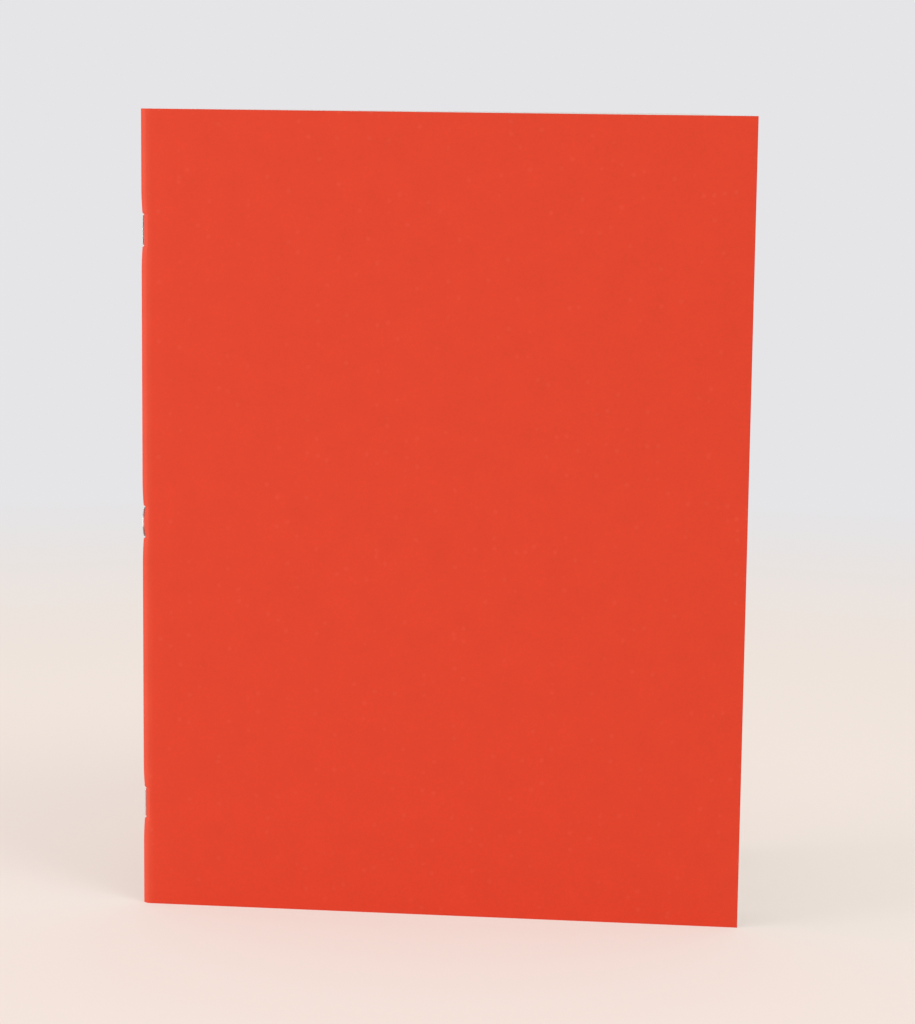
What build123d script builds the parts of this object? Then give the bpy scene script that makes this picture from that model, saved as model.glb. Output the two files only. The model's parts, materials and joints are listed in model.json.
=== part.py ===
"""Stapled exercise book, standing on its tail edge and slightly open.

+Z is up. The spine is a vertical fold on the -X side, the front half opens
towards -Y and the back half towards +Y. All sizes are in millimetres.
"""

import os
from math import cos, radians, sin, tan

from build123d import *

# Trimmed size of the closed book
COVER_WIDTH = 240.0  # from the back of the spine to the fore-edge
COVER_HEIGHT = 320.0  # from tail to head

# Paper and card
SHEET_COUNT = 20  # folded sheets, two leaves each
PAPER = 0.105  # thickness of a leaf
CARD = 0.32  # thickness of the cover
SHEET_GAP = 0.012  # air between neighbours in the closed book
FOLD_CLEARANCE = 0.06  # between the outer sheet and the cover at a staple
PAPER_CREASE = 0.085  # free length of a leaf beside its fold
CARD_CREASE = 0.56  # free length of a cover panel beside the spine

# Wire staples
WIRE = 0.6  # diameter
CROWN = 11.8  # outside length along the spine
CLINCH = 4.6  # length of each leg bent over inside
TAIL_MARGIN = 41.5  # tail edge to the lowest staple's middle
HEAD_MARGIN = 47.4  # head edge to the highest staple's middle
MIDDLE_DROP = 0.65  # middle staple below the point halfway between them
STAPLE_RECESS = 0.4  # depth of the crown below the back of the spine
WIRE_CLEARANCE = 0.04  # around the wire
WIRE_BEND = 0.6 * WIRE  # bend radius on the wire's axis

# Dents that the staples pull into the spine
SEAT_MARGIN = 0.3  # flat length past each end of the crown
SEAT_STEP = 0.6  # from the flat to the card beside it, level with the crown
DENT_RAMP = 10.0  # length over which the spine recovers

# How far the book stands open, in degrees
COVER_OPENING = 13.0  # from the middle plane to a cover
COVER_STANDOFF = 0.6  # from the outer leaf to the cover
LEAF_FAN = 4.0  # from the centre leaf to the outer leaf
OUTER_LEAF_OPENING = COVER_OPENING - COVER_STANDOFF
INNER_LEAF_OPENING = OUTER_LEAF_OPENING - LEAF_FAN

# Half-widths of the folds, from the centre sheet out to the cover
SHEET_PITCH = PAPER + SHEET_GAP
CENTRE_FOLD = WIRE / 2 + WIRE_CLEARANCE + PAPER / 2
OUTER_FOLD = CENTRE_FOLD + (SHEET_COUNT - 1) * SHEET_PITCH
COVER_FOLD = OUTER_FOLD + PAPER / 2 + SHEET_GAP + CARD / 2

# Depths behind the inner end of the folds
SPINE_ARC = radians(90 - COVER_OPENING)  # half of the arc that runs smoothly into the covers
COVER_DEPTH = COVER_FOLD * (1 + tan(SPINE_ARC / 2))
SPINE_DEPTH = COVER_DEPTH + CARD / 2
FORE_EDGE = COVER_WIDTH - SPINE_DEPTH
DENT = STAPLE_RECESS + WIRE + WIRE_CLEARANCE
FOLD_SEAT = CARD / 2 + FOLD_CLEARANCE + PAPER / 2  # from the cover to the outer sheet

STAPLE_HEIGHTS = {
    "tail_staple": TAIL_MARGIN,
    "middle_staple": (TAIL_MARGIN + COVER_HEIGHT - HEAD_MARGIN) / 2 - MIDDLE_DROP,
    "head_staple": COVER_HEIGHT - HEAD_MARGIN,
}
LEG_OFFSET = (CROWN - WIRE) / 2
CROWN_SEAT = CROWN / 2 + SEAT_MARGIN
DENT_LIP = CROWN_SEAT + SEAT_STEP
DENT_END = DENT_LIP + DENT_RAMP
SIDES = {"front": -1, "back": 1}


def fold_width(number):
    """Half-width of a sheet's fold, with sheet 1 at the centre spread."""
    return CENTRE_FOLD + (number - 1) * SHEET_PITCH


def leaf_opening(number):
    """Angle of a leaf from the middle plane, even steps from centre to cover."""
    step = (OUTER_LEAF_OPENING - INNER_LEAF_OPENING) / max(SHEET_COUNT - 1, 1)
    return OUTER_LEAF_OPENING - (SHEET_COUNT - number) * step


def hinge_width(number):
    """Half-width at a leaf's hinge line: its fold, or the cover's for the outer leaf."""
    return COVER_FOLD if number == SHEET_COUNT else fold_width(number)


def leaf_reach(number):
    """Furthest a leaf reaches past the inner end of the folds."""
    hinge = hinge_width(number)
    angle = radians(leaf_opening(number))
    inside = hinge - fold_width(number) + PAPER / 2
    return (FORE_EDGE + hinge) * cos(angle) + inside * sin(angle) - hinge


# Place of the folds' inner end that puts the origin under the middle of the box
BOOK_REACH = max(leaf_reach(number) for number in range(1, SHEET_COUNT + 1))
SPINE_X = (SPINE_DEPTH - BOOK_REACH) / 2


def hinge_plane(side, width, opening):
    """Ground plane at a hinge line, its X along the leaf that turns there."""
    turn = radians(opening) * side
    return Plane(
        origin=(SPINE_X - width, side * width, 0),
        x_dir=(cos(turn), sin(turn), 0),
        z_dir=(0, 0, 1),
    )


def fold_outline(width, depth, thickness):
    """Bent strip across the spine, seen from the head."""
    with BuildLine() as outline:
        outer = ThreePointArc(
            (SPINE_X - width, -width - thickness / 2),
            (SPINE_X - depth - thickness / 2, 0),
            (SPINE_X - width, width + thickness / 2),
        )
        inner = ThreePointArc(
            (SPINE_X - width, -width + thickness / 2),
            (SPINE_X - depth + thickness / 2, 0),
            (SPINE_X - width, width - thickness / 2),
        )
        Line(outer @ 0, inner @ 0)
        Line(outer @ 1, inner @ 1)
    return outline.line


def fold_depth(number, dent):
    """Depth of a sheet's fold where the spine is dented, in step with the cover's."""
    return (COVER_DEPTH - dent - FOLD_SEAT) * fold_width(number) / OUTER_FOLD


def dent_stations(profile):
    """Levels from tail to head with the dent at each, from its profile above a staple's middle."""
    stations = [(0.0, 0.0)]
    for middle in STAPLE_HEIGHTS.values():
        stations += [(middle - away, dent) for away, dent in reversed(profile)]
        stations += [(middle + away, dent) for away, dent in profile]
    return stations + [(COVER_HEIGHT, 0.0)]


def leg_holes():
    """Cutters for the staple legs, through the whole depth of the spine."""
    with BuildPart() as holes:
        with BuildSketch(Plane.YZ.offset(SPINE_X - SPINE_DEPTH)):
            for height in STAPLE_HEIGHTS.values():
                with Locations((0, height - LEG_OFFSET), (0, height + LEG_OFFSET)):
                    Circle(WIRE / 2 + WIRE_CLEARANCE)
        extrude(amount=SPINE_DEPTH)
    return holes.part


def folded_strip(width, thickness, sections):
    """Strip bent across the spine through its levels and depths, with the staples' holes."""
    with BuildPart() as strip:
        for level, depth in sections:
            with BuildSketch(Plane.XY.offset(level)):
                add(fold_outline(width, depth, thickness))
                make_face()
        loft(ruled=True)
        add(staple_legs, mode=Mode.SUBTRACT)
    return strip.part


def save(piece, name):
    piece.label = name
    export_step(piece, f"parts/{name}.step")


os.makedirs("parts", exist_ok=True)
staple_legs = leg_holes()

# Spine of the cover: an arc from cover to cover with a seat pressed in at each staple
spine_seat = [(CROWN_SEAT, DENT), (DENT_LIP, STAPLE_RECESS), (DENT_END, 0.0)]
spine_sections = [(level, COVER_DEPTH - dent) for level, dent in dent_stations(spine_seat)]
save(folded_strip(COVER_FOLD, CARD, spine_sections), "cover_spine")

# Folds of the sheets, nested inside the spine and pinched with it
pinch_stations = dent_stations([(CROWN_SEAT, DENT), (DENT_END, 0.0)])
sheet_strips = []
for number in range(1, SHEET_COUNT + 1):
    sections = [(level, fold_depth(number, dent)) for level, dent in pinch_stations]
    sheet_strips.append(folded_strip(fold_width(number), PAPER, sections))
with BuildPart() as sheet_folds:
    add(sheet_strips)
save(sheet_folds.part, "sheet_folds")

# Leaves and cover panels, each from its fold to the trimmed fore-edge
for half, side in SIDES.items():
    for number in range(1, SHEET_COUNT + 1):
        width = fold_width(number)
        hinge = hinge_width(number)
        start = hinge - width + PAPER_CREASE
        length = FORE_EDGE + hinge - start
        with BuildPart() as leaf:
            with BuildSketch(hinge_plane(side, hinge, leaf_opening(number))):
                with Locations((start + length / 2, side * (width - hinge))):
                    Rectangle(length, PAPER)
            extrude(amount=COVER_HEIGHT)
        save(leaf.part, f"{half}_leaf_{number:02d}")
    panel_width = FORE_EDGE + COVER_FOLD - CARD_CREASE
    with BuildPart() as cover_panel:
        with BuildSketch(hinge_plane(side, COVER_FOLD, COVER_OPENING)):
            with Locations((CARD_CREASE + panel_width / 2, 0)):
                Rectangle(panel_width, CARD)
        extrude(amount=COVER_HEIGHT)
    save(cover_panel.part, f"{half}_cover")

# Staples: crown outside, legs through the folds, ends bent over in the centre
crown_x = SPINE_X - SPINE_DEPTH + STAPLE_RECESS + WIRE / 2
clinch_x = SPINE_X - fold_depth(1, DENT) + PAPER / 2 + WIRE_CLEARANCE + WIRE / 2
for name, middle in STAPLE_HEIGHTS.items():
    with BuildPart() as staple:
        with BuildLine(Plane.XZ) as wire_line:
            FilletPolyline(
                (clinch_x, middle - LEG_OFFSET + CLINCH),
                (clinch_x, middle - LEG_OFFSET),
                (crown_x, middle - LEG_OFFSET),
                (crown_x, middle + LEG_OFFSET),
                (clinch_x, middle + LEG_OFFSET),
                (clinch_x, middle + LEG_OFFSET - CLINCH),
                radius=WIRE_BEND,
            )
        wire_start = Plane(origin=wire_line.line @ 0, z_dir=wire_line.line % 0)
        with BuildSketch(wire_start):
            Circle(WIRE / 2)
        sweep()
    save(staple.part, name)
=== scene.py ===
"""Looks of the stapled exercise book: red card cover, bowed pages, wire staples.

The book stands on its tail edge with its spine on the -X side. The front half
opens towards -Y and the back half towards +Y. All sizes are in metres.
"""

import json
from math import cos, pi, radians, sin

import bmesh
import bpy
import numpy as np
from mathutils import Matrix, Vector


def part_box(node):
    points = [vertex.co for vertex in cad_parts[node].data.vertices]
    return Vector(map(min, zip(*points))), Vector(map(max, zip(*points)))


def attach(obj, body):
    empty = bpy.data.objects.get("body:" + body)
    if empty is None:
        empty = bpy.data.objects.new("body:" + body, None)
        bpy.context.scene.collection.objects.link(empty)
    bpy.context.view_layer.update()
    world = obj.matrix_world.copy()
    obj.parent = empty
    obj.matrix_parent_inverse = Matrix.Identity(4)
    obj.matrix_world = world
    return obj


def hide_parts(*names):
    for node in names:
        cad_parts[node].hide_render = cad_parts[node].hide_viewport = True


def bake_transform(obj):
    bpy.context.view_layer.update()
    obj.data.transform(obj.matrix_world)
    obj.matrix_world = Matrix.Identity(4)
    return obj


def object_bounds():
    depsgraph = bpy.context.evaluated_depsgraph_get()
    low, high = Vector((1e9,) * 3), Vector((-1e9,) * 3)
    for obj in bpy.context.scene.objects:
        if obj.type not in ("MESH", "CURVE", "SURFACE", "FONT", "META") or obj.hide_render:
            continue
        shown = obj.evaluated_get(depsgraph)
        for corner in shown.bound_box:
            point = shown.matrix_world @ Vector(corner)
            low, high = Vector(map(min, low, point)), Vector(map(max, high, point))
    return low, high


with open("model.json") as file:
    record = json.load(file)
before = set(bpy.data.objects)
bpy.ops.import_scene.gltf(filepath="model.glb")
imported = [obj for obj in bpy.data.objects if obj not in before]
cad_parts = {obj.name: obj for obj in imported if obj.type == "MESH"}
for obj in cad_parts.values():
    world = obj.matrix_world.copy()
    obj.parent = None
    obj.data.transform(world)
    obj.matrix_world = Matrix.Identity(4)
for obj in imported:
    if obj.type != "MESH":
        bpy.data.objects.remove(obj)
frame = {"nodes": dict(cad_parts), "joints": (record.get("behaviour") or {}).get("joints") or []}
CAD_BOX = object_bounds()
MM = 0.001
SIDES = {"front": -1, "back": 1}

# Camera, fitted to the four edges of the cover
CAMERA_PLACE = (-0.1308, -1.1336, 0.3260)
CAMERA_YAW = radians(6.98)
CAMERA_PITCH = radians(8.29)
CAMERA_ROLL = radians(-0.68)
CAMERA_LENS = 100.22  # in millimetres

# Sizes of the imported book
JOINTS = {joint["name"]: joint for joint in frame["joints"]}
SHEET_COUNT = sum(name.startswith("front_leaf_") for name in frame["nodes"])
OUTER_LEAF_TURN = JOINTS[f"back_leaf_{SHEET_COUNT:02d}_turn"]
COVER_TURN = JOINTS["back_cover_turn"]
HEIGHT = CAD_BOX[1].z
COVER_HINGE_X, COVER_FOLD = COVER_TURN["pos_m"][:2]
COVER_OPENING = -radians(OUTER_LEAF_TURN["range_deg"][0] + COVER_TURN["range_deg"][0])
CARD = 2 * (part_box("cover_spine")[1].y - COVER_FOLD)
COVER_REACH = (
    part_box("back_cover")[1].x - COVER_HINGE_X - CARD / 2 * sin(COVER_OPENING)
) / cos(COVER_OPENING)
FORE_EDGE = COVER_REACH - COVER_FOLD
CENTRE_FOLD = JOINTS["back_leaf_01_turn"]["pos_m"][1]
SHEET_PITCH = JOINTS["back_leaf_02_turn"]["pos_m"][1] - CENTRE_FOLD
OUTER_FOLD = CENTRE_FOLD + (SHEET_COUNT - 1) * SHEET_PITCH
PAPER = 2 * (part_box("sheet_folds")[1].y - OUTER_FOLD)
SPINE_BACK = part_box("cover_spine")[0].x

# Shape that only the looks have
SHARP_ANGLE = radians(35)  # between faces that meet in a sharp edge
CARD_BEVEL = 0.05 * MM  # cut edges of the card
KNUCKLE_STEPS = 4  # points of each quarter of the card's rounded edge on a hinge line
PANEL_STEPS = 24  # points of a cover panel from hinge line to fore-edge
SPINE_STEPS = 36  # points of the spine's arch
SPINE_STATION = 8 * MM  # between levels of the plain spine
DENT_STATION = 0.5 * MM  # between levels of a dent
SEAT_STATION = 0.1 * MM  # between levels at each end of a crown's seat
BEND_LEAD = 410 * MM  # behind a hinge line, where a leaf's bow begins
LEAF_STEPS = 48  # points of a leaf from fold to fore-edge

# Staples and the dents that they pull into the spine
CARD_CLEARANCE = 0.04 * MM  # between a crown and the dented card
SEAT_MARGIN = 0.3 * MM  # flat length of the seat past each end of a crown
SEAT_STEP = 0.6 * MM  # from the seat to the card beside it
DENT_RAMP = 10.0 * MM  # over which the spine recovers
CLINCH = 4.6 * MM  # leg ends bent over in the centre spread
WIRE_BEND = 0.36 * MM  # bend radius on the wire's axis
BEND_STEPS = 6  # points added on each bend
WIRE_STEP = 0.12 * MM  # between points along the wire
WIRE_SIDES = 14  # points around the wire
CROWN_BOW = {"tail_staple": 0.0, "middle_staple": 0.45 * MM, "head_staple": 0.0}
CROWN_PAINTED_GLINT = {"tail_staple": 0.75, "middle_staple": 0.08, "head_staple": 0.12}  # painted glint: a brighter base that stands in for reflections, per staple
GLINT_BOW = (0.35 * MM, 0.44 * MM)  # bow from which a crown gets a painted glint, and fully so

# Colours, linear and with alpha
CARD_RED = (0.745, 0.045, 0.011, 1.0)
FLECK_RED = (0.86, 0.16, 0.10, 1.0)
FOLD_SCUFF_AND_HIGHLIGHT_RED = (0.88, 0.18, 0.09, 1.0)  # scuffed card on the fold, and a painted highlight where the rounded fold catches the light
PAGE_WHITE = (0.89, 0.88, 0.845, 1.0)
FLECK_GREY = (0.60, 0.58, 0.54, 1.0)
RULE_BLUE = (0.36, 0.47, 0.68, 1.0)
MARGIN_RED = (0.74, 0.24, 0.25, 1.0)
# steel grey, darkened as a painted dark reflection
STEEL_DARK_REFLECTION_GREY = (0.32, 0.30, 0.29, 1.0)
# painted glint on the wire
WIRE_GLINT_WHITE = (0.93, 0.92, 0.90, 1.0)
FLOOR_WHITE = (0.83, 0.75, 0.69, 1.0)
FLOOR_SHEEN = (0.95, 0.85, 0.785, 1.0)  # mixed in where the floor is seen
BACKDROP = (0.785, 0.78, 0.80, 1.0)
DAYLIGHT = (1.0, 1.0, 1.0, 1.0)

# Grain of card and paper: cells per metre, and how far each part changes the colour
CARD_GRAIN = {"Cloud Scale": 90.0, "Fibre Scale": 900.0, "Fleck Scale": 260.0}
CARD_MOTTLE = {"Cloud": 0.05, "Fibre": 0.09, "Fleck": 0.10}
PAPER_GRAIN = {"Cloud Scale": 60.0, "Fibre Scale": 1100.0, "Fleck Scale": 180.0}
PAPER_MOTTLE = {"Cloud": 0.03, "Fibre": 0.05, "Fleck": 0.06}
CLOUD_NOISE = {"detail": 3.0, "rough": 0.55}
FIBRE_NOISE = {"detail": 4.0, "rough": 0.65}
FLECK_SHARE = 0.2  # of the cells
FLECK_EDGE = (0.12, 0.34)  # from a cell's middle, over which its fleck fades

# Surface of card and paper
CARD_ROUGH = 0.62
PAPER_ROUGH = 0.72
ROUGH_SPREAD = 0.08  # by the fibres, up and down
CARD_BUMP = 0.03 * MM
PAPER_BUMP = 0.02 * MM
BUMP_STRENGTH = 0.5
CARD_SHINE = {"Specular IOR Level": 0.35, "Sheen Weight": 0.06, "Sheen Roughness": 0.4}
PAPER_SHINE = {"Specular IOR Level": 0.25}
FOLD_SCUFF_AND_HIGHLIGHT_SPAN = (-0.6 * MM, 2.0 * MM)  # from a hinge line, over which the fold's scuffs and painted highlight fade
SCUFF_AND_HIGHLIGHT_LEAST = 0.06  # share of the scuffed colour and painted highlight on the fold
SCUFF_AND_HIGHLIGHT_CLOUD = 0.12  # added by the grain's clouds

# Page ruling
RULE_STEP = 8.0 * MM
RULE_WIDTH = 0.28 * MM
RULE_EDGE = (0.3 * RULE_WIDTH, 0.7 * RULE_WIDTH)  # from a line's middle, over which it fades
HEAD_MARGIN = 26.0 * MM
TAIL_MARGIN = 14.0 * MM
MARGIN_LINE = 40.0 * MM  # from the fold
INK_LEAST = 0.30  # share of the ink's colour on a line
INK_FIBRE = 0.5  # added by the paper's fibres

# Surface of the wire
STREAK_STRETCH = (1.0, 1.0, 0.06)  # draws the streaks out along the crown
STREAK_SCALE = 9000.0
DULL_SCALE = 700.0
WIRE_DETAIL = 2.0
WIRE_DULL = 0.25  # change of the wire's colour by its dull patches
WIRE_ROUGH = 0.16
STREAK_ROUGH = 0.25  # added by the streaks

# Light, with lamps in degrees, metres and watts
AMBIENT = 0.60
LAMPS = {
    "key_light": {"azimuth": 38, "elevation": 48, "away": 3.0, "size": 1.0, "power": 18.0},
    "left_light": {"azimuth": -75, "elevation": 8, "away": 3.0, "size": 1.3, "power": 41.0},
    "top_light": {"azimuth": 0, "elevation": 88, "away": 2.6, "size": 2.5, "power": 19.0},
}
FLOOR_RADIUS = 9.0
FLOOR_STEPS = 128  # points around the floor
FLOOR_FADE = (0.45, 1.3)  # from the floor's own shade to the backdrop's
FLOOR_LIFT = 0.45  # share of the floor's sheen, which leaves the shadows pale


def smooth_step(value):
    """0 before 0, 1 after 1, and an even S between."""
    value = np.clip(value, 0, 1)
    return value * value * (3 - 2 * value)


def link_object(name, data):
    obj = bpy.data.objects.new(name, data)
    bpy.context.scene.collection.objects.link(obj)
    return obj


def dressed_object(name, mesh, material):
    """Links a mesh that wears a material, smooth apart from its sharp edges."""
    mesh.materials.clear()
    mesh.materials.append(material)
    mesh.shade_smooth()
    mesh.set_sharp_from_angle(angle=SHARP_ANGLE)
    return link_object(name, mesh)


def plain_mesh(obj, name, material):
    """Replaces an object with live modifiers by one plain mesh object."""
    graph = bpy.context.evaluated_depsgraph_get()
    mesh = bpy.data.meshes.new_from_object(
        obj.evaluated_get(graph), preserve_all_data_layers=True, depsgraph=graph
    )
    bpy.data.objects.remove(obj)
    mesh.name = name
    return dressed_object(name, mesh, material)


class Nodes:
    """Adds nodes to a tree, with a value or a link for each input named."""

    def __init__(self, tree):
        self.tree = tree

    def add(self, kind, inputs=None, **settings):
        node = self.tree.nodes.new(kind)
        for key, value in settings.items():
            setattr(node, key, value)
        for key, value in (inputs or {}).items():
            if isinstance(value, bpy.types.NodeSocket):
                self.tree.links.new(value, node.inputs[key])
            else:
                node.inputs[key].default_value = value
        return node

    def math(self, operation, *values):
        return self.add("ShaderNodeMath", dict(enumerate(values)), operation=operation).outputs[0]

    def ramp(self, value, low, high, start=0.0, end=1.0):
        """A smooth step from start at low to end at high."""
        node = self.add(
            "ShaderNodeMapRange",
            {"Value": value, "From Min": low, "From Max": high, "To Min": start, "To Max": end},
            interpolation_type="SMOOTHSTEP",
        )
        return node.outputs[0]

    def noise(self, place, scale, detail, rough=0.5):
        values = {"Vector": place, "Scale": scale, "Detail": detail, "Roughness": rough}
        return self.add("ShaderNodeTexNoise", values).outputs[0]

    def tint(self, colour, other, mask):
        mix = self.add("ShaderNodeMix", {0: mask, 6: colour, 7: other}, data_type="RGBA")
        return mix.outputs[2]

    def shade(self, colour, amount, value):
        """The colour made lighter and darker by a value around one half."""
        change = self.math("MULTIPLY_ADD", value, 2 * amount, 1 - amount)
        product = self.add(
            "ShaderNodeMix", {0: 1.0, 6: colour, 7: change}, data_type="RGBA", blend_type="MULTIPLY"
        )
        return product.outputs[2]

    def finish_surface(self, inputs):
        """Ends a material with one shader that has these inputs."""
        shader = self.add("ShaderNodeBsdfPrincipled", inputs)
        self.add("ShaderNodeOutputMaterial", {"Surface": shader.outputs[0]})

    def position(self):
        """X, Y and Z of each point, in a geometry tree."""
        place = self.add("GeometryNodeInputPosition").outputs[0]
        return self.add("ShaderNodeSeparateXYZ", {0: place}).outputs

    def finish_geometry(self, geometry, material):
        """Ends a geometry tree with a plain mesh that wears a material."""
        real = self.add("GeometryNodeRealizeInstances", {"Geometry": geometry}).outputs[0]
        dressed = self.add("GeometryNodeSetMaterial", {"Geometry": real, "Material": material})
        self.add("NodeGroupOutput", {"Geometry": dressed.outputs[0]})


def new_group(name, kind, inputs, outputs):
    """Node group whose sockets are named under their types, and what its inputs give."""
    tree = bpy.data.node_groups.new(name, kind)
    for in_out, sockets in (("OUTPUT", outputs), ("INPUT", inputs)):
        for socket_type, names in sockets.items():
            for socket_name in names:
                tree.interface.new_socket(
                    socket_name, in_out=in_out, socket_type=f"NodeSocket{socket_type}"
                )
    nodes = Nodes(tree)
    return nodes, nodes.add("NodeGroupInput").outputs


def empty_nodes(owner):
    """The cleared node tree of a material or a world."""
    owner.use_nodes = True
    owner.node_tree.nodes.clear()
    return Nodes(owner.node_tree)


# Finishes


def paper_fibre():
    """Shared grain of card and paper: clouds, fine fibres and rare flecks, each from 0 to 1."""
    nodes, given = new_group(
        "paper_fibre",
        "ShaderNodeTree",
        inputs={"Vector": ["Vector"], "Float": ["Cloud Scale", "Fibre Scale", "Fleck Scale"]},
        outputs={"Float": ["Cloud", "Fibre", "Fleck"]},
    )
    place = given["Vector"]
    cells = nodes.add("ShaderNodeTexVoronoi", {"Vector": place, "Scale": given["Fleck Scale"]})
    cell = nodes.add("ShaderNodeSeparateColor", {"Color": cells.outputs["Color"]})
    chosen = nodes.math("GREATER_THAN", cell.outputs["Red"], 1 - FLECK_SHARE)
    spot = nodes.ramp(cells.outputs["Distance"], *FLECK_EDGE, 1.0, 0.0)
    nodes.add(
        "NodeGroupOutput",
        {
            "Cloud": nodes.noise(place, given["Cloud Scale"], **CLOUD_NOISE),
            "Fibre": nodes.noise(place, given["Fibre Scale"], **FIBRE_NOISE),
            "Fleck": nodes.math("MULTIPLY", chosen, spot),
        },
    )
    return nodes.tree


FIBRE = paper_fibre()


def grained_colour(nodes, place, colour, fleck_colour, scales, mottle):
    """A colour with the shared grain in it, and the grain itself."""
    grain = nodes.add("ShaderNodeGroup", {"Vector": place, **scales}, node_tree=FIBRE).outputs
    colour = nodes.shade(colour, mottle["Cloud"], grain["Cloud"])
    colour = nodes.shade(colour, mottle["Fibre"], grain["Fibre"])
    fleck = nodes.math("MULTIPLY", grain["Fleck"], mottle["Fleck"])
    return nodes.tint(colour, fleck_colour, fleck), grain


def finish_paper(nodes, colour, fibre, rough, bump_height, shine):
    """Ends a paper material, with uneven roughness and a fibre bump."""
    uneven = nodes.math("MULTIPLY_ADD", fibre, 2 * ROUGH_SPREAD, rough - ROUGH_SPREAD)
    bump = nodes.add(
        "ShaderNodeBump", {"Height": fibre, "Distance": bump_height, "Strength": BUMP_STRENGTH}
    )
    nodes.finish_surface(
        {"Base Color": colour, "Roughness": uneven, "Normal": bump.outputs[0], **shine}
    )


def red_card():
    """Smooth uncoated card, dyed through, with a faint mottle and pale flecks."""
    material = bpy.data.materials.new("red_card")
    nodes = empty_nodes(material)
    place = nodes.add("ShaderNodeTexCoord").outputs["Object"]
    colour, grain = grained_colour(nodes, place, CARD_RED, FLECK_RED, CARD_GRAIN, CARD_MOTTLE)
    across = nodes.add("ShaderNodeSeparateXYZ", {0: place}).outputs["X"]
    # Paler card on the spine's round and just past the hinge lines: scuffs, and a painted highlight
    # for the light the rounded fold catches
    from_hinge = nodes.math("SUBTRACT", across, COVER_HINGE_X)
    near_fold = nodes.ramp(from_hinge, *FOLD_SCUFF_AND_HIGHLIGHT_SPAN, 1.0, 0.0)
    scuff_and_highlight = nodes.math("MULTIPLY_ADD", grain["Cloud"], SCUFF_AND_HIGHLIGHT_CLOUD, SCUFF_AND_HIGHLIGHT_LEAST)
    colour = nodes.tint(colour, FOLD_SCUFF_AND_HIGHLIGHT_RED, nodes.math("MULTIPLY", near_fold, scuff_and_highlight))
    finish_paper(nodes, colour, grain["Fibre"], CARD_ROUGH, CARD_BUMP, CARD_SHINE)
    return material


def printed_line(nodes, away):
    """1 on a printed line and 0 beside it, by the distance from its middle."""
    return nodes.ramp(away, *RULE_EDGE, 1.0, 0.0)


def ruled_colour(nodes, place, colour, fibre):
    """The paper's colour with the page's rules and its margin line printed on it."""
    page = nodes.add("ShaderNodeSeparateXYZ", {0: place}).outputs
    row = nodes.math("SUBTRACT", page["Y"], TAIL_MARGIN)
    rule = printed_line(nodes, nodes.math("PINGPONG", row, RULE_STEP / 2))
    above = nodes.math("GREATER_THAN", page["Y"], TAIL_MARGIN - RULE_WIDTH)
    below = nodes.math("LESS_THAN", page["Y"], HEIGHT - HEAD_MARGIN)
    rule = nodes.math("MULTIPLY", rule, nodes.math("MULTIPLY", above, below))
    from_margin = nodes.math("SUBTRACT", page["X"], MARGIN_LINE)
    margin = printed_line(nodes, nodes.math("ABSOLUTE", from_margin))
    ink = nodes.math("MULTIPLY_ADD", fibre, INK_FIBRE, INK_LEAST)
    colour = nodes.tint(colour, RULE_BLUE, nodes.math("MULTIPLY", rule, ink))
    return nodes.tint(colour, MARGIN_RED, nodes.math("MULTIPLY", margin, ink))


def writing_paper(name, ruled):
    """Uncoated off-white paper, with pale rules and a margin line on the leaves."""
    material = bpy.data.materials.new(name)
    nodes = empty_nodes(material)
    place = nodes.add("ShaderNodeTexCoord").outputs["UV" if ruled else "Object"]
    colour, grain = grained_colour(
        nodes, place, PAGE_WHITE, FLECK_GREY, PAPER_GRAIN, PAPER_MOTTLE
    )
    if ruled:
        colour = ruled_colour(nodes, place, colour, grain["Fibre"])
    finish_paper(nodes, colour, grain["Fibre"], PAPER_ROUGH, PAPER_BUMP, PAPER_SHINE)
    return material


def staple_wire():
    """Drawn steel wire, dull with fine lengthwise streaks, darkened as a painted dark reflection,
    with a painted glint where the crown bows out and on staples given one.
    """
    material = bpy.data.materials.new("staple_wire")
    nodes = empty_nodes(material)
    place = nodes.add("ShaderNodeTexCoord").outputs["Object"]
    along = nodes.add("ShaderNodeMapping", {"Vector": place, "Scale": STREAK_STRETCH}).outputs[0]
    streak = nodes.noise(along, STREAK_SCALE, WIRE_DETAIL)
    dull = nodes.noise(place, DULL_SCALE, WIRE_DETAIL)
    painted_glint = nodes.add("ShaderNodeAttribute", attribute_name="painted_glint").outputs["Fac"]
    # Base colour with painted light: steel grey darkened as a painted dark reflection, and a
    # painted glint where the attribute gives one
    colour = nodes.tint(nodes.shade(STEEL_DARK_REFLECTION_GREY, WIRE_DULL, dull), WIRE_GLINT_WHITE, painted_glint)
    rough = nodes.math("MULTIPLY_ADD", streak, STREAK_ROUGH, WIRE_ROUGH)
    nodes.finish_surface({"Base Color": colour, "Roughness": rough, "Metallic": 1.0})
    return material


# Cover


def card_outline(middle, normals, half, start, end):
    """Strip of card seen from the head, out along its outer face and back along its inner face.

    start and end are the directions in which an end on a hinge line is rounded, or None for a
    cut edge.
    """
    faces = []
    for side in (1, -1):
        run = list(middle + side * half * normals)
        for place, direction in ((0, start), (-1, end)):
            if direction is None:
                run[-1] = middle[-1] + side * (half - CARD_BEVEL) * normals[-1]
                continue
            knuckle = []
            for step in range(KNUCKLE_STEPS):
                angle = pi / 2 * (step + 0.5) / KNUCKLE_STEPS
                reach = cos(angle) * np.array(direction) + side * sin(angle) * normals[place]
                knuckle.append(middle[place] + half * reach)
            run = knuckle + run if place == 0 else run + knuckle[::-1]
        faces.append(run)
    return faces[0] + faces[1][::-1]


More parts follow.
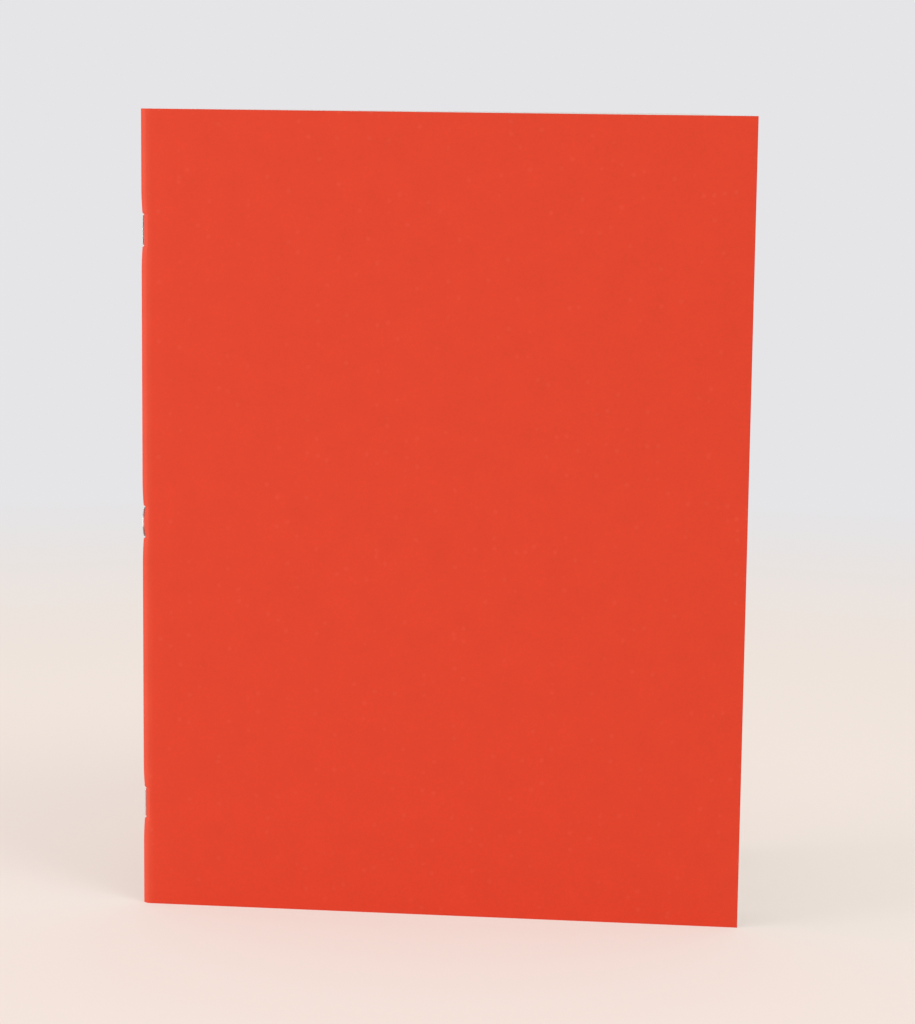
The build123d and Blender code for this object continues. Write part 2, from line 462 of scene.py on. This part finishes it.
def skin_outlines(name, outlines, levels, material):
    """Closed shell of card over its outlines at a stack of levels."""
    count = len(outlines[0])
    points = [(x, y, z) for outline, z in zip(outlines, levels) for x, y in outline]
    faces = []
    for level in range(len(levels) - 1):
        for step in range(count):
            after = (step + 1) % count
            low, high = level * count, (level + 1) * count
            faces.append((low + step, low + after, high + after, high + step))
    for base in (0, (len(levels) - 1) * count):
        for step in range(count // 2 - 1):
            mate = base + count - 1 - step
            faces.append((base + step, base + step + 1, mate - 1, mate))
    mesh = bpy.data.meshes.new(name)
    mesh.from_pydata(points, [], faces)
    shell = bmesh.new()
    shell.from_mesh(mesh)
    bmesh.ops.recalc_face_normals(shell, faces=shell.faces)
    shell.to_mesh(mesh)
    shell.free()
    return dressed_object(name, mesh, material)


def cover_panel(half, side, material):
    """Flat panel of the cover, rounded on its hinge line and cut at the fore-edge."""
    turn = COVER_OPENING * side
    along = np.array((cos(turn), sin(turn)))
    across = np.array((-sin(turn), cos(turn))) * side
    hinge = np.array((COVER_HINGE_X, side * COVER_FOLD))
    outlines = []
    for inset in (CARD_BEVEL, 0, 0, CARD_BEVEL):
        steps = np.linspace(0, COVER_REACH - inset - CARD_BEVEL, PANEL_STEPS)
        steps = np.append(steps, COVER_REACH - inset)
        middle = hinge + steps[:, None] * along
        normals = np.tile(across, (len(steps), 1))
        outlines.append(card_outline(middle, normals, CARD / 2 - inset, -along, None))
    levels = (0, CARD_BEVEL, HEIGHT - CARD_BEVEL, HEIGHT)
    panel = skin_outlines(f"{half}_cover_card", outlines, levels, material)
    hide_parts(f"{half}_cover")
    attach(panel, f"{half}_cover")


def crown_span(name):
    """Middle level and half length of a staple's crown."""
    low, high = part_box(name)
    return (low.z + high.z) / 2, (high.z - low.z) / 2


def dent_depth(level):
    """How far the staples pull the back of the spine in at a level."""
    depth = 0.0
    for name, bow in CROWN_BOW.items():
        low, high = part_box(name)
        middle, half = crown_span(name)
        away = abs(level - middle) - half - SEAT_MARGIN
        recovery = np.clip(1 - (away - SEAT_STEP) / DENT_RAMP, 0, 1)
        arch = max(0.0, 1 - ((level - middle) / half) ** 2)
        seat = high.y - low.y + CARD_CLEARANCE - bow * arch
        depth += (low.x - SPINE_BACK) * recovery**2 + seat * (1 - smooth_step(away / SEAT_STEP))
    return depth


def cover_spine(material):
    """Arched back of the cover, dented at the staples and rounded on both hinge lines."""
    levels = [np.arange(0, HEIGHT, SPINE_STATION), (CARD_BEVEL, HEIGHT - CARD_BEVEL, HEIGHT)]
    for name in CROWN_BOW:
        middle, half = crown_span(name)
        span = half + SEAT_MARGIN + SEAT_STEP + DENT_RAMP
        levels.append(np.arange(middle - span, middle + span, DENT_STATION))
        for edge in (middle - half - SEAT_MARGIN, middle + half + SEAT_MARGIN):
            levels.append(np.arange(edge - SEAT_STEP, edge + SEAT_STEP, SEAT_STATION))
    levels = np.unique(np.concatenate(levels).round(6))
    outlines = []
    for level in levels:
        rise = COVER_HINGE_X - SPINE_BACK - CARD / 2 - dent_depth(level)
        radius = (COVER_FOLD**2 + rise**2) / (2 * rise)
        half_turn = np.arctan2(COVER_FOLD, radius - rise)
        turns = np.linspace(-half_turn, half_turn, SPINE_STEPS)
        outward = np.stack((-np.cos(turns), np.sin(turns)), axis=1)
        middle = (COVER_HINGE_X - rise + radius, 0) + radius * outward
        ends = [(sin(half_turn), side * cos(half_turn)) for side in (-1, 1)]
        at_end = level in (levels[0], levels[-1])
        outlines.append(card_outline(middle, outward, CARD / 2 - CARD_BEVEL * at_end, *ends))
    spine = skin_outlines("cover_spine_card", outlines, levels, material)
    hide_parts("cover_spine")
    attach(spine, "spine")


# Sheets


def set_inputs(obj, tree, values):
    """Adds a node tree to an object with these values for its named inputs."""
    modifier = obj.modifiers.new(tree.name, "NODES")
    modifier.node_group = tree
    for item in tree.interface.items_tree:
        if item.in_out == "INPUT" and item.name in values:
            modifier[item.identifier] = values[item.name]


def bowed_leaf():
    """Node tree of a leaf: a grid from its fold to the fore-edge, bowed about its hinge line.

    A point's turn is the leaf's opening times the same smooth step that its blend uses, so that
    a closed leaf is flat and an open one curves out of the fold.
    """
    sizes = ["Start", "Reach", "Height", "Lead", "Opening", "Side", "Inset", "Hinge X", "Hinge Y"]
    nodes, given = new_group(
        "bowed_leaf",
        "GeometryNodeTree",
        inputs={"Float": sizes, "Material": ["Paper"]},
        outputs={"Geometry": ["Geometry"]},
    )
    width = nodes.math("SUBTRACT", given["Reach"], given["Start"])
    grid = nodes.add(
        "GeometryNodeMeshGrid",
        {"Size X": width, "Size Y": given["Height"], "Vertices X": LEAF_STEPS, "Vertices Y": 2},
    )
    place = nodes.position()
    along = nodes.math("ADD", nodes.math("MULTIPLY_ADD", width, 0.5, place["X"]), given["Start"])
    level = nodes.math("MULTIPLY_ADD", given["Height"], 0.5, place["Y"])
    page = nodes.add("ShaderNodeCombineXYZ", {"X": along, "Y": level}).outputs[0]
    flat = nodes.add(
        "GeometryNodeStoreNamedAttribute",
        {"Geometry": grid.outputs["Mesh"], "Name": "page", "Value": page},
        data_type="FLOAT2",
        domain="CORNER",
    )
    behind = nodes.math("MULTIPLY", given["Lead"], -1.0)
    share = nodes.ramp(along, behind, given["Reach"])
    turn = nodes.math("MULTIPLY", given["Opening"], share)
    lag = nodes.math("SUBTRACT", given["Opening"], turn)
    radius = nodes.math("DIVIDE", along, nodes.math("COSINE", lag))
    sine, cosine = nodes.math("SINE", turn), nodes.math("COSINE", turn)
    inset_east = nodes.math("MULTIPLY", given["Inset"], sine)
    inset_north = nodes.math("MULTIPLY", given["Inset"], cosine)
    east = nodes.math("SUBTRACT", nodes.math("MULTIPLY", radius, cosine), inset_east)
    north = nodes.math("MULTIPLY_ADD", radius, sine, inset_north)
    bowed = nodes.add(
        "ShaderNodeCombineXYZ",
        {
            "X": nodes.math("ADD", given["Hinge X"], east),
            "Y": nodes.math("MULTIPLY_ADD", north, given["Side"], given["Hinge Y"]),
            "Z": level,
        },
    )
    moved = nodes.add(
        "GeometryNodeSetPosition", {"Geometry": flat.outputs[0], "Position": bowed.outputs[0]}
    )
    nodes.finish_geometry(moved.outputs[0], given["Paper"])
    return nodes.tree


def leaf(half, side, number, tree, material):
    """One leaf of a sheet, bent out of its fold near the spine."""
    body = f"{half}_leaf_{number:02d}"
    turn = JOINTS[f"{body}_turn"]
    hinge = Vector(turn["pos_m"])
    fold = CENTRE_FOLD + (number - 1) * SHEET_PITCH
    opening = -radians(turn["range_deg"][0])
    reach = FORE_EDGE + abs(hinge.y)
    maker = link_object(body, bpy.data.meshes.new(body))
    set_inputs(
        maker,
        tree,
        {
            "Start": abs(hinge.y) - fold,
            "Reach": reach,
            "Height": HEIGHT,
            "Lead": BEND_LEAD,
            "Opening": opening,
            "Side": float(side),
            "Inset": fold - abs(hinge.y),
            "Hinge X": hinge.x,
            "Hinge Y": hinge.y,
            "Paper": material,
        },
    )
    thickness = maker.modifiers.new("thickness", "SOLIDIFY")
    thickness.thickness = PAPER
    thickness.offset = 0.0
    page = plain_mesh(maker, f"{body}_page", material)
    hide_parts(body)
    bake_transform(page)


# Staples


def bent_wire():
    """Node tree of a staple: its path with rounded bends and a bowed crown, swept with the wire."""
    sizes = ["Wire", "Bend", "Step", "Crown X", "Clinch X", "Middle", "Half Crown", "Bow", "Painted Glint"]
    nodes, given = new_group(
        "bent_wire",
        "GeometryNodeTree",
        inputs={"Geometry": ["Geometry"], "Float": sizes, "Material": ["Steel"]},
        outputs={"Geometry": ["Geometry"]},
    )
    path = nodes.add(
        "GeometryNodeFilletCurve",
        {
            "Curve": given["Geometry"],
            "Radius": given["Bend"],
            "Count": BEND_STEPS,
            "Limit Radius": True,
        },
        mode="POLY",
    )
    path = nodes.add(
        "GeometryNodeResampleCurve",
        {"Curve": path.outputs[0], "Length": given["Step"]},
        mode="LENGTH",
    )
    place = nodes.position()
    on_crown = nodes.ramp(place["X"], given["Clinch X"], given["Crown X"])
    from_middle = nodes.math("SUBTRACT", place["Z"], given["Middle"])
    share = nodes.math("DIVIDE", from_middle, given["Half Crown"])
    arch = nodes.math("SUBTRACT", 1.0, nodes.math("MULTIPLY", share, share))
    out = nodes.math("MULTIPLY", nodes.math("MULTIPLY", arch, on_crown), given["Bow"])
    shift = nodes.add("ShaderNodeCombineXYZ", {"X": nodes.math("MULTIPLY", out, -1.0)})
    # Painted glint: a brighter base on the bowed middle of a crown, or on the whole staple,
    # standing in for reflections
    glint = nodes.math("MAXIMUM", nodes.ramp(out, *GLINT_BOW), given["Painted Glint"])
    path = nodes.add(
        "GeometryNodeStoreNamedAttribute",
        {"Geometry": path.outputs[0], "Name": "painted_glint", "Value": glint},
        data_type="FLOAT",
        domain="POINT",
    )
    path = nodes.add(
        "GeometryNodeSetPosition", {"Geometry": path.outputs[0], "Offset": shift.outputs[0]}
    )
    section = nodes.add(
        "GeometryNodeCurvePrimitiveCircle",
        {"Resolution": WIRE_SIDES, "Radius": nodes.math("MULTIPLY", given["Wire"], 0.5)},
    )
    swept = nodes.add(
        "GeometryNodeCurveToMesh",
        {"Curve": path.outputs[0], "Profile Curve": section.outputs[0], "Fill Caps": True},
    )
    nodes.finish_geometry(swept.outputs[0], given["Steel"])
    return nodes.tree


def staple(name, tree, material):
    """One staple: crown behind the spine, legs through the folds, ends bent over inside."""
    low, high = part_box(name)
    wire = high.y - low.y
    crown_x, clinch_x = low.x + wire / 2, high.x - wire / 2
    foot, top = low.z + wire / 2, high.z - wire / 2
    route = (
        (clinch_x, foot + CLINCH),
        (clinch_x, foot),
        (crown_x, foot),
        (crown_x, top),
        (clinch_x, top),
        (clinch_x, top - CLINCH),
    )
    curve = bpy.data.curves.new(name, "CURVE")
    curve.dimensions = "3D"
    line = curve.splines.new("POLY")
    line.points.add(len(route) - 1)
    for point, (x, z) in zip(line.points, route):
        point.co = (x, 0, z, 1)
    maker = link_object(name, curve)
    set_inputs(
        maker,
        tree,
        {
            "Wire": wire,
            "Bend": WIRE_BEND,
            "Step": WIRE_STEP,
            "Crown X": crown_x,
            "Clinch X": clinch_x,
            "Middle": (low.z + high.z) / 2,
            "Half Crown": (top - foot) / 2,
            "Bow": CROWN_BOW[name],
            "Painted Glint": CROWN_PAINTED_GLINT[name],
            "Steel": material,
        },
    )
    wire_piece = plain_mesh(maker, f"{name}_wire", material)
    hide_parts(name)
    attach(wire_piece, "spine")


# Stage


def sight_rays(nodes):
    """1 where the stage is seen, straight, in a shiny piece or through a clear one."""
    rays = nodes.add("ShaderNodeLightPath").outputs
    seen = nodes.math("MAXIMUM", rays["Is Camera Ray"], rays["Is Glossy Ray"])
    return nodes.math("MAXIMUM", seen, rays["Is Transmission Ray"])


def pale_floor():
    """Wide round floor that fades into the backdrop."""
    bpy.ops.mesh.primitive_circle_add(
        vertices=FLOOR_STEPS, radius=FLOOR_RADIUS, fill_type="NGON"
    )
    floor = bpy.context.object
    floor.name = "floor"
    material = bpy.data.materials.new("pale_floor")
    nodes = empty_nodes(material)
    place = nodes.add("ShaderNodeTexCoord").outputs["Object"]
    away = nodes.add("ShaderNodeVectorMath", {0: place}, operation="LENGTH").outputs["Value"]
    matt = nodes.add("ShaderNodeBsdfDiffuse", {"Color": FLOOR_WHITE})
    sheen = nodes.add("ShaderNodeEmission", {"Color": FLOOR_SHEEN})
    lift = nodes.math("MULTIPLY", sight_rays(nodes), FLOOR_LIFT)
    near = nodes.add("ShaderNodeMixShader", {0: lift, 1: matt.outputs[0], 2: sheen.outputs[0]})
    glow = nodes.add("ShaderNodeEmission", {"Color": BACKDROP})
    far = nodes.ramp(away, *FLOOR_FADE)
    mix = nodes.add("ShaderNodeMixShader", {0: far, 1: near.outputs[0], 2: glow.outputs[0]})
    nodes.add("ShaderNodeOutputMaterial", {"Surface": mix.outputs[0]})
    floor.data.materials.append(material)


def backdrop():
    """World: even light on the book, and the backdrop's colour where it is seen."""
    world = bpy.data.worlds.new("backdrop")
    nodes = empty_nodes(world)
    light = nodes.add("ShaderNodeBackground", {"Color": DAYLIGHT, "Strength": AMBIENT})
    sight = nodes.add("ShaderNodeBackground", {"Color": BACKDROP, "Strength": 1.0})
    mix = nodes.add(
        "ShaderNodeMixShader", {0: sight_rays(nodes), 1: light.outputs[0], 2: sight.outputs[0]}
    )
    nodes.add("ShaderNodeOutputWorld", {"Surface": mix.outputs[0]})
    bpy.context.scene.world = world


def soft_light(name, azimuth, elevation, away, size, power):
    """Square lamp that faces the middle of the book."""
    lamp = bpy.data.lights.new(name, "AREA")
    lamp.size = size
    lamp.energy = power
    holder = link_object(name, lamp)
    turn, rise = radians(azimuth), radians(elevation)
    toward = Vector((sin(turn) * cos(rise), -cos(turn) * cos(rise), sin(rise)))
    holder.location = Vector((0, 0, HEIGHT / 2)) + away * toward
    holder.rotation_mode = "QUATERNION"
    holder.rotation_quaternion = toward.to_track_quat("Z", "Y")
    holder.visible_camera = False


def add_camera():
    camera = link_object("camera", bpy.data.cameras.new("camera"))
    camera.data.lens = CAMERA_LENS
    camera.matrix_world = (
        Matrix.Translation(CAMERA_PLACE)
        @ Matrix.Rotation(-CAMERA_YAW, 4, "Z")
        @ Matrix.Rotation(pi / 2 - CAMERA_PITCH, 4, "X")
        @ Matrix.Rotation(-CAMERA_ROLL, 4, "Z")
    )
    bpy.context.scene.camera = camera


card_finish = red_card()
page_finish = writing_paper("ruled_page", ruled=True)
fold_finish = writing_paper("page_fold", ruled=False)
wire_finish = staple_wire()

cover_spine(card_finish)
leaf_tree = bowed_leaf()
for half_name, half_side in SIDES.items():
    cover_panel(half_name, half_side, card_finish)
    for leaf_number in range(1, SHEET_COUNT + 1):
        leaf(half_name, half_side, leaf_number, leaf_tree, page_finish)
wire_tree = bent_wire()
for staple_name in CROWN_BOW:
    staple(staple_name, wire_tree, wire_finish)
folds = frame["nodes"]["sheet_folds"]
folds.data.materials.clear()
folds.data.materials.append(fold_finish)

pale_floor()
backdrop()
for lamp_name, lamp_place in LAMPS.items():
    soft_light(lamp_name, **lamp_place)
add_camera()
bpy.context.scene.view_settings.view_transform = "Standard"
